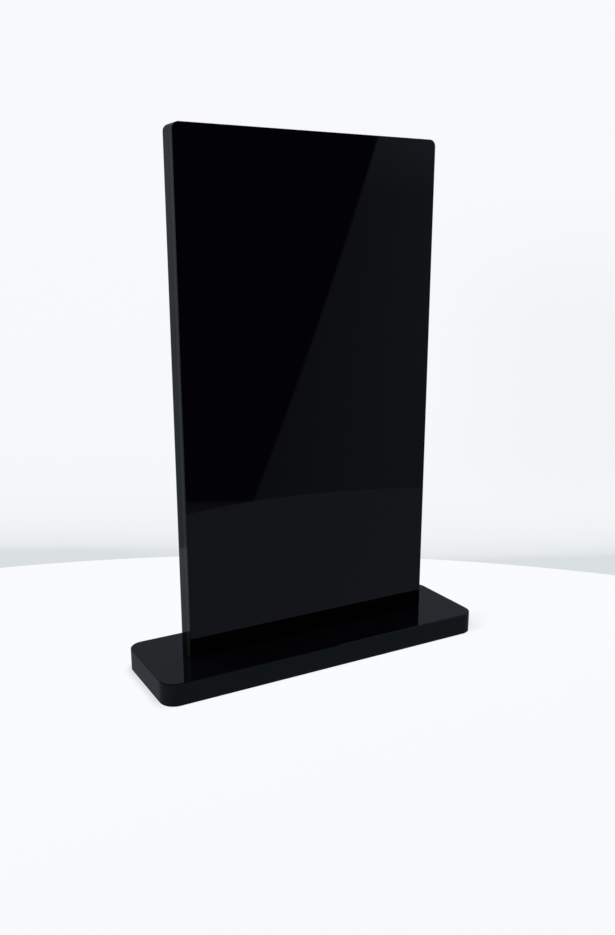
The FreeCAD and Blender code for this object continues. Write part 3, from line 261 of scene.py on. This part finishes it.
def woven_screen(shape, low, high):
    """Plain weave of wires behind one grille, in a thin border."""
    middle = low.y - 2 * WIRE_HALF_DEPTH
    x0, x1, z0, z1 = low.x + SCREEN_INSET, high.x - SCREEN_INSET, low.z + SCREEN_INSET, high.z - SCREEN_INSET
    columns, rows = round((x1 - x0) / WIRE_PITCH), round((z1 - z0) / WIRE_PITCH)
    step_x, step_z = (x1 - x0) / columns, (z1 - z0) / rows

    def swing(i, j):
        return WIRE_HALF_DEPTH * math.cos(math.pi * (i + j))

    for i in range(1, columns):
        wire(shape, [Vector((x0 + i * step_x, middle + swing(i, k / 2), z0 + k / 2 * step_z))
                     for k in range(2 * rows + 1)], Vector((1, 0, 0)), WIRE_HALF_WIDTH, WIRE_HALF_DEPTH)
    for j in range(1, rows):
        wire(shape, [Vector((x0 + k / 2 * step_x, middle - swing(k / 2, j), z0 + j * step_z))
                     for k in range(2 * columns + 1)], Vector((0, 0, 1)), WIRE_HALF_WIDTH, WIRE_HALF_DEPTH)
    near, far = middle - 2 * WIRE_HALF_DEPTH, middle + 2 * WIRE_HALF_DEPTH
    for a0, a1, b0, b1 in ((x0, x1, z0, z0 + SCREEN_BORDER), (x0, x1, z1 - SCREEN_BORDER, z1),
                           (x0, x0 + SCREEN_BORDER, z0 + SCREEN_BORDER, z1 - SCREEN_BORDER),
                           (x1 - SCREEN_BORDER, x1, z0 + SCREEN_BORDER, z1 - SCREEN_BORDER)):
        prism(shape, rectangle(a0, a1, b0, b1), "Y", near, far)


def dust_screens():
    shape = bmesh.new()
    for grille in GRILLES:
        woven_screen(shape, *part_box(grille))
    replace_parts(finished_piece("dust_screens", shape, "mesh_black", "kiosk"), "dust_meshes")


# ---------------------------------------------------------------- key marks
MARK_LENGTH = 2.94 * MM     # a little less than the engraved grooves
MARK_WIDTH = 0.44 * MM
MARK_SUNK = 0.06 * MM       # below the cap's face
MARK_T = 0.13 * MM
RING_R = (1.38 * MM, 1.77 * MM)
RING_GAP = 0.83 * MM        # half of the gap at the ring's top
RING_STEPS = 40
STROKE_FROM, STROKE_TO = 0.33 * MM, 2.07 * MM


def key_mark(body):
    """Pale paint in the sign engraved in a key's cap."""
    low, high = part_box(body)
    x, z, top = (low.x + high.x) / 2, (low.z + high.z) / 2, high.y - MARK_SUNK
    a, w = MARK_LENGTH / 2, MARK_WIDTH / 2
    level = rectangle(x - a, x + a, z - w, z + w)
    if body == "volume_down_key":
        outlines = [level]
    elif body == "volume_up_key":
        corners = [(-a, -w), (-w, -w), (-w, -a), (w, -a), (w, -w), (a, -w),
                   (a, w), (w, w), (w, a), (-w, a), (-w, w), (-a, w)]
        outlines = [[(x + p, z + q) for p, q in corners]]
    else:
        arcs = []
        for radius in RING_R:
            start = math.asin(RING_GAP / radius)
            turns = [start + k / RING_STEPS * (2 * math.pi - 2 * start) for k in range(RING_STEPS + 1)]
            arcs.append([(x + radius * math.sin(t), z + radius * math.cos(t)) for t in turns])
        stroke = rectangle(x - w / 1.2, x + w / 1.2, z + STROKE_FROM, z + STROKE_TO)
        outlines = [arcs[1] + arcs[0][::-1], stroke]
    shape = bmesh.new()
    for outline in outlines:
        prism(shape, outline, "Y", top - MARK_T, top)
    finished_piece(body + "_mark", shape, "mark_grey", body)


# ---------------------------------------------------------------- socket tongues
def usb_a_inside():
    """Plastic tongue of the larger data socket, and its four sprung contacts underneath."""
    low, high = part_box("usb_a_socket")
    x = (low.x + high.x) / 2
    y0, y1, z0, z1 = low.y + 4.2 * MM, high.y - 1.2 * MM, high.z - 2.9 * MM, high.z - 1.1 * MM
    skin = 0.06 * MM
    half = 5.6 * MM + skin
    tongue = bmesh.new()
    rounded_box(tongue, (x - half, y0, z0 - skin), (x + half, y1 + skin, z1 + skin), 0.15 * MM)
    finished_piece("usb_a_tongue", tongue, "chip_black", "kiosk")
    contacts = bmesh.new()
    under = z0 - skin
    side = [(y0, under), (y1 - 0.5 * MM, under), (y1 - 1.3 * MM, under - 0.30 * MM),
            (y1 - 2.4 * MM, under - 0.12 * MM), (y0, under - 0.12 * MM)]
    for off in (-3.5, -1.0, 1.0, 3.5):
        prism(contacts, side, "X", x + off * MM - 0.5 * MM, x + off * MM + 0.5 * MM)
    finished_piece("usb_a_contacts", contacts, "contact_gold", "kiosk")


def usb_c_inside():
    """Plastic tongue of the smaller data socket, with twelve contacts on each side."""
    low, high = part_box("usb_c_socket")
    x, z = (low.x + high.x) / 2, high.z - 1.6 * MM
    y0, y1 = low.y + 2.2 * MM, high.y - 0.8 * MM
    skin = 0.03 * MM
    half_w, half = 3.3 * MM + skin, 0.35 * MM + skin
    tongue = bmesh.new()
    rounded_box(tongue, (x - half_w, y0, z - half), (x + half_w, y1 + skin, z + half), 0.12 * MM)
    finished_piece("usb_c_tongue", tongue, "chip_black", "kiosk")
    contacts = bmesh.new()
    for face in (-1, 1):
        inner, outer = z + face * (half - 0.01 * MM), z + face * (half + 0.03 * MM)
        side = [(y0, inner), (y1 - 0.6 * MM, inner), (y1 - 0.8 * MM, outer), (y0, outer)]
        for k in range(12):
            middle = x + (k - 5.5) * 0.5 * MM
            prism(contacts, side, "X", middle - 0.14 * MM, middle + 0.14 * MM)
    finished_piece("usb_c_contacts", contacts, "contact_gold", "kiosk")


dust_screens()
for key in ("power_key", "volume_down_key", "volume_up_key"):
    key_mark(key)
usb_a_inside()
usb_c_inside()


# ---------------------------------------------------------------- stage
TABLE_CENTRE = Vector((-0.403, -0.640, 0.0))
TABLE_R = 0.9957
FLOOR_GLOW = (0.950, 0.959, 0.976)
FLOOR_GLOW_NEAR = (0.937, 0.946, 0.964)  # painted shade: the table's glow a little dimmer towards the viewer
PAINTED_CONTACT_SHADE = (0.74, 0.75, 0.77)     # painted contact shadow: glow of the table where a piece stands on it
CONTACT_LEFT = 0.0068                   # how far that shade reaches to the left of the base
CONTACT_RIGHT = (0.013, 0.045)          # and to its right, near its front corner and further back
WALL_R = 4.0


def stage_only(piece, camera=False, diffuse=False, glossy=False):
    """Says which rays see a piece of the stage."""
    piece.visible_camera = camera
    piece.visible_diffuse = diffuse
    piece.visible_glossy = glossy
    piece.visible_transmission = False
    piece.visible_volume_scatter = False
    piece.visible_shadow = False


def glow(name, colour_of):
    """A glowing stage surface. colour_of builds its colour from the object coordinates."""
    made, n = new_material(name)
    place = n.add("ShaderNodeTexCoord").outputs["Object"]
    axes = n.add("ShaderNodeSeparateXYZ", {0: place}).outputs
    colour = colour_of(n, axes["X"], axes["Y"], axes["Z"])
    surface = n.add("ShaderNodeEmission", {"Color": colour, "Strength": 1.0}).outputs[0]
    n.link(surface, n.add("ShaderNodeOutputMaterial").inputs["Surface"])
    return made


def disc_points(centre, radius, count=256):
    turns = [2 * math.pi * i / count for i in range(count)]
    return [centre + Vector((radius * math.cos(t), radius * math.sin(t), 0)) for t in turns]


def table_colour(n, x, y, z):
    """White, with a painted soft contact shadow beside and behind the base but not in front."""
    to_the_right = n.remap(y, -0.040, -0.018, *CONTACT_RIGHT)
    reach = n.remap(x, 0.0, 0.14, CONTACT_LEFT, to_the_right)
    # painted contact shadow: occlusion near the base darkens the table's glow
    near = n.add("ShaderNodeAmbientOcclusion", {"Distance": reach}, samples=16).outputs["AO"]
    open_sky = n.remap(near, 0.60, 1.0)
    in_front = n.remap(y, -0.022, -0.044)
    far_right = n.math("MULTIPLY", n.remap(y, -0.015, -0.006), n.remap(x, 0.10, 0.14))
    in_front = n.math("MAXIMUM", in_front, far_right)
    # painted shade: the table's glow dims towards the viewer
    lit = n.mix(n.remap(y, -0.08, -0.26), rgba(FLOOR_GLOW), rgba(FLOOR_GLOW_NEAR))
    return n.mix(n.math("MAXIMUM", open_sky, in_front), rgba(PAINTED_CONTACT_SHADE), lit)


def table_top():
    points = disc_points(TABLE_CENTRE, TABLE_R)
    top = mesh_object("table", points, [list(range(len(points)))], glow("table_white", table_colour))
    stage_only(top, camera=True, diffuse=True)


WALL_PALE = (0.94, 0.95, 0.96)
WALL_BAND_SHADE = (0.70, 0.74, 0.76)      # painted shadow just above the table's far rim
WALL_SIDE_SHADE = (0.88, 0.91, 0.92)      # painted shade: a slightly dimmer part far to the right
WALL_BAND_DEPTH = 0.05              # height in which the band's shade falls to half
WALL_MIDDLE = 1.9                   # X where the band on the wall is lowest


def wall_shade(n, x, z, rise, foot):
    """Share of the band's painted shade: all at its foot, a half one depth above it, a third two depths above
    it.
    """
    off = n.math("SUBTRACT", x, WALL_MIDDLE)
    height = n.math("SUBTRACT", z, n.math("MULTIPLY", n.math("MULTIPLY", off, off), rise))
    above = n.math("MAXIMUM", n.math("SUBTRACT", height, foot), 0.0)
    return n.math("DIVIDE", WALL_BAND_DEPTH, n.math("ADD", above, WALL_BAND_DEPTH))


def wall_colour(n, x, y, z):
    """Pale wall with painted shade: a soft band just above the table's far rim."""
    left = wall_shade(n, x, z, 0.04, -1.2)
    right = wall_shade(n, x, z, 0.1, -1.27)
    plain = n.mix(n.remap(x, 0.6, 2.4, left, right), rgba(WALL_PALE), rgba(WALL_BAND_SHADE))
    # painted shade: a dimmer patch on the wall far to the right, at mid height
    to_the_right = n.remap(x, 2.4, 2.9)
    at_mid_height = n.math("MULTIPLY", n.remap(z, 0.60, 0.00), n.remap(z, -0.95, -0.70))
    return n.mix(n.math("MULTIPLY", to_the_right, at_mid_height), plain, rgba(WALL_SIDE_SHADE))


def wall_dome():
    shape = bmesh.new()
    bmesh.ops.create_uvsphere(shape, u_segments=96, v_segments=64, radius=WALL_R)
    mesh = bpy.data.meshes.new("wall")
    shape.to_mesh(mesh)
    shape.free()
    for face in mesh.polygons:
        face.use_smooth = True
    mesh.materials.append(glow("wall_white", wall_colour))
    dome = bpy.data.objects.new("wall", mesh)
    bpy.context.scene.collection.objects.link(dome)
    stage_only(dome, camera=True)


def clipped(points, inward, reach=0.0):
    """The part of an outline where the distance along the inward direction is more than reach."""
    inward = Vector(inward)
    kept = []
    for a, b in zip(points, points[1:] + points[:1]):
        depth_a, depth_b = a.dot(inward) - reach, b.dot(inward) - reach
        if depth_a > 0:
            kept.append(a)
        if depth_a * depth_b < 0:
            kept.append(a.lerp(b, depth_a / (depth_a - depth_b)))
    return kept


LEFT_OF_BASE = -0.145       # X beyond which only the left faces mirror the table
MIRRORED_NEAR_CENTRE = Vector((0.1815, 0.0392, -0.0005))
MIRRORED_NEAR_R = 0.4921
MIRRORED_FAR_CENTRE = Vector((-0.4104, -0.6297, -0.0005))
MIRRORED_FAR_R = 0.9482


MIRRORED_OPEN = (0.155, 0.165, 0.21)    # the table in front, clear of the base
MIRRORED_BY_BASE = (0.11, 0.14, 0.15)   # and close to it
MIRRORED_BEHIND = (0.15, 0.17, 0.19)    # the table just behind the base
MIRRORED_FAR = (0.20, 0.23, 0.25)       # and further back


def near_colour(n, x, y, z):
    """What the front faces mirror of the table, by how far it lies in front of the kiosk."""
    return n.mix(n.remap(y, -0.081, -0.077), rgba(MIRRORED_OPEN), rgba(MIRRORED_BY_BASE))


def far_colour(n, x, y, z):
    """What the other faces mirror of it, by how far it lies behind."""
    return n.mix(n.remap(y, 0.03, 0.25), rgba(MIRRORED_BEHIND), rgba(MIRRORED_FAR))


def mirrored_table():
    """The table as the polished faces see it, dimmer than it looks, with its near and far rims."""
    whole_near = disc_points(MIRRORED_NEAR_CENTRE, MIRRORED_NEAR_R)
    whole_far = disc_points(MIRRORED_FAR_CENTRE, MIRRORED_FAR_R)
    in_front_near, in_front_far = clipped(whole_near, (0, -1, 0)), clipped(whole_far, (0, -1, 0))
    outlines = {
        "table_mirrored_near": (clipped(in_front_near, (1, 0, 0), LEFT_OF_BASE), near_colour),
        "table_mirrored_left": (clipped(in_front_far, (-1, 0, 0), -LEFT_OF_BASE), far_colour),
        "table_mirrored_far": (clipped(whole_far, (0, 1, 0)), far_colour),
    }
    for name, (outline, colour_of) in outlines.items():
        image = mesh_object(name, outline, [list(range(len(outline)))], glow(name, colour_of))
        stage_only(image, glossy=True)


def heading(azimuth, elevation):
    a, e = math.radians(azimuth), math.radians(elevation)
    return Vector((math.sin(a) * math.cos(e), math.cos(a) * math.cos(e), math.sin(e)))


BEHIND_LOW = (0.11, 0.13, 0.14)
BEHIND_LEVEL = (0.21, 0.24, 0.26)
BEHIND_HIGH = (0.13, 0.15, 0.17)
BEHIND_TOP = (0.26, 0.27, 0.29)
SCREEN_LOW = (0.06, 0.07, 0.09)
SCREEN_MIDDLE = (0.09, 0.11, 0.14)
SCREEN_HIGH = (0.14, 0.17, 0.21)


def screen_ramp(n, height, brightness):
    """The pale screen's colour by height, with a paler part at its top."""
    stops = [(0.0, SCREEN_LOW), (0.68, SCREEN_MIDDLE), (0.76, SCREEN_HIGH)]
    return n.ramp(height, [(stop, tuple(brightness * part for part in colour)) for stop, colour in stops])


SLANT_TOP, SLANT_BOTTOM = (146.31, 6.66), (153.99, -15.34)   # headings of the slanted edge's two ends
SLANT_BOW = (0.1075, 0.0136, -0.00528)      # how the edge bows between them, as a polynomial of height


def view_ahead(n, direction, z):
    """Dark room in front, and on its right the tall pale screen with the slanted edge."""
    edge = heading(*SLANT_TOP).cross(heading(*SLANT_BOTTOM)).normalized()
    inputs = {0: direction, 1: tuple(edge)}
    across = n.add("ShaderNodeVectorMath", inputs, operation="DOT_PRODUCT").outputs["Value"]
    square, linear, level = SLANT_BOW
    slope = n.math("ADD", n.math("MULTIPLY", z, square), linear)
    across = n.math("ADD", across, n.math("SUBTRACT", n.math("MULTIPLY", slope, z), -level))
    height = n.remap(z, -0.35, 0.25)
    screen = n.mix(n.remap(across, 0.0, 0.12), screen_ramp(n, height, 1.0), screen_ramp(n, height, 1.5))
    low = n.remap(z, -0.2650, -0.2705)
    dark = n.mix(low, (0.013, 0.013, 0.024, 1), (0.065, 0.08, 0.095, 1))
    return n.mix(n.remap(across, -0.0015, 0.0015), dark, screen)


def view_behind(n, x, z):
    """Pale room behind, with two soft panels low at its sides and a dim patch high on its left."""
    level = n.remap(z, -0.3, 1.0)
    behind = n.ramp(level, [(0.0, BEHIND_LOW), (0.3, BEHIND_LEVEL), (0.5, BEHIND_HIGH), (1.0, BEHIND_TOP)])
    sideways = n.math("ADD", n.math("ABSOLUTE", x), n.math("MULTIPLY", z, 0.25))
    panels = n.math("MULTIPLY", n.remap(sideways, 0.60, 0.64), n.remap(z, 0.25, 0.15))
    behind = n.mix(panels, behind, (0.50, 0.52, 0.55, 1))
    upper_left = n.math("MULTIPLY", n.remap(z, 0.38, 0.42), n.remap(x, 0.05, -0.20))
    return n.mix(upper_left, behind, (0.045, 0.055, 0.060, 1))


def studio_world():
    """Surroundings that light the kiosk and show in its polish."""
    world = bpy.data.worlds.new("studio")
    world.use_nodes = True
    bpy.context.scene.world = world
    n = Nodes(world.node_tree)
    direction = n.add("ShaderNodeTexCoord").outputs["Generated"]
    axes = n.add("ShaderNodeSeparateXYZ", {0: direction}).outputs
    ahead = view_ahead(n, direction, axes["Z"])
    behind = view_behind(n, axes["X"], axes["Z"])
    colour = n.mix(n.remap(axes["Y"], -0.25, 0.10, smooth=True), ahead, behind)
    background = n.add("ShaderNodeBackground", {"Color": colour, "Strength": 1.0})
    n.link(background.outputs[0], n.add("ShaderNodeOutputWorld").inputs["Surface"])


def soft_light(name, place, size, power):
    """A large lamp aimed at the middle of the kiosk. It lights matt surfaces and isn't mirrored."""
    data = bpy.data.lights.new(name, "AREA")
    data.shape = "DISK"
    data.size = size
    data.energy = power
    lamp = bpy.data.objects.new(name, data)
    lamp.location = place
    aim = Vector((0, 0, 0.15)) - Vector(place)
    lamp.rotation_euler = aim.to_track_quat("-Z", "Y").to_euler()
    lamp.visible_glossy = False
    lamp.visible_camera = False
    bpy.context.scene.collection.objects.link(lamp)


table_top()
wall_dome()
mirrored_table()
studio_world()
soft_light("overhead", (0.0, 0.0, 2.2), 2.6, 60.0)
soft_light("front", (-0.6, -1.6, 0.9), 1.2, 20.0)
soft_light("left_rear", (-1.6, 1.8, 1.4), 1.6, 50.0)
soft_light("right_rear", (1.8, 1.6, 1.0), 1.6, 50.0)


# ---------------------------------------------------------------- camera
CAMERA_PLACE = Vector((-0.3423, -0.6012, 0.3204))
CAMERA_YAW = 29.422         # degrees to the right of +Y
CAMERA_DIP = 15.268         # degrees below the horizontal
LENS = 34.51
SHIFT = (0.0029, 0.0314)

camera_data = bpy.data.cameras.new("camera")
camera_data.lens = LENS
camera_data.sensor_width = 36.0
camera_data.shift_x, camera_data.shift_y = SHIFT
camera_data.clip_start, camera_data.clip_end = 0.02, 20.0
camera = bpy.data.objects.new("camera", camera_data)
camera.location = CAMERA_PLACE
camera.rotation_euler = heading(CAMERA_YAW, -CAMERA_DIP).to_track_quat("-Z", "Y").to_euler()
bpy.context.scene.collection.objects.link(camera)
bpy.context.scene.camera = camera
bpy.context.scene.view_settings.view_transform = "Standard"
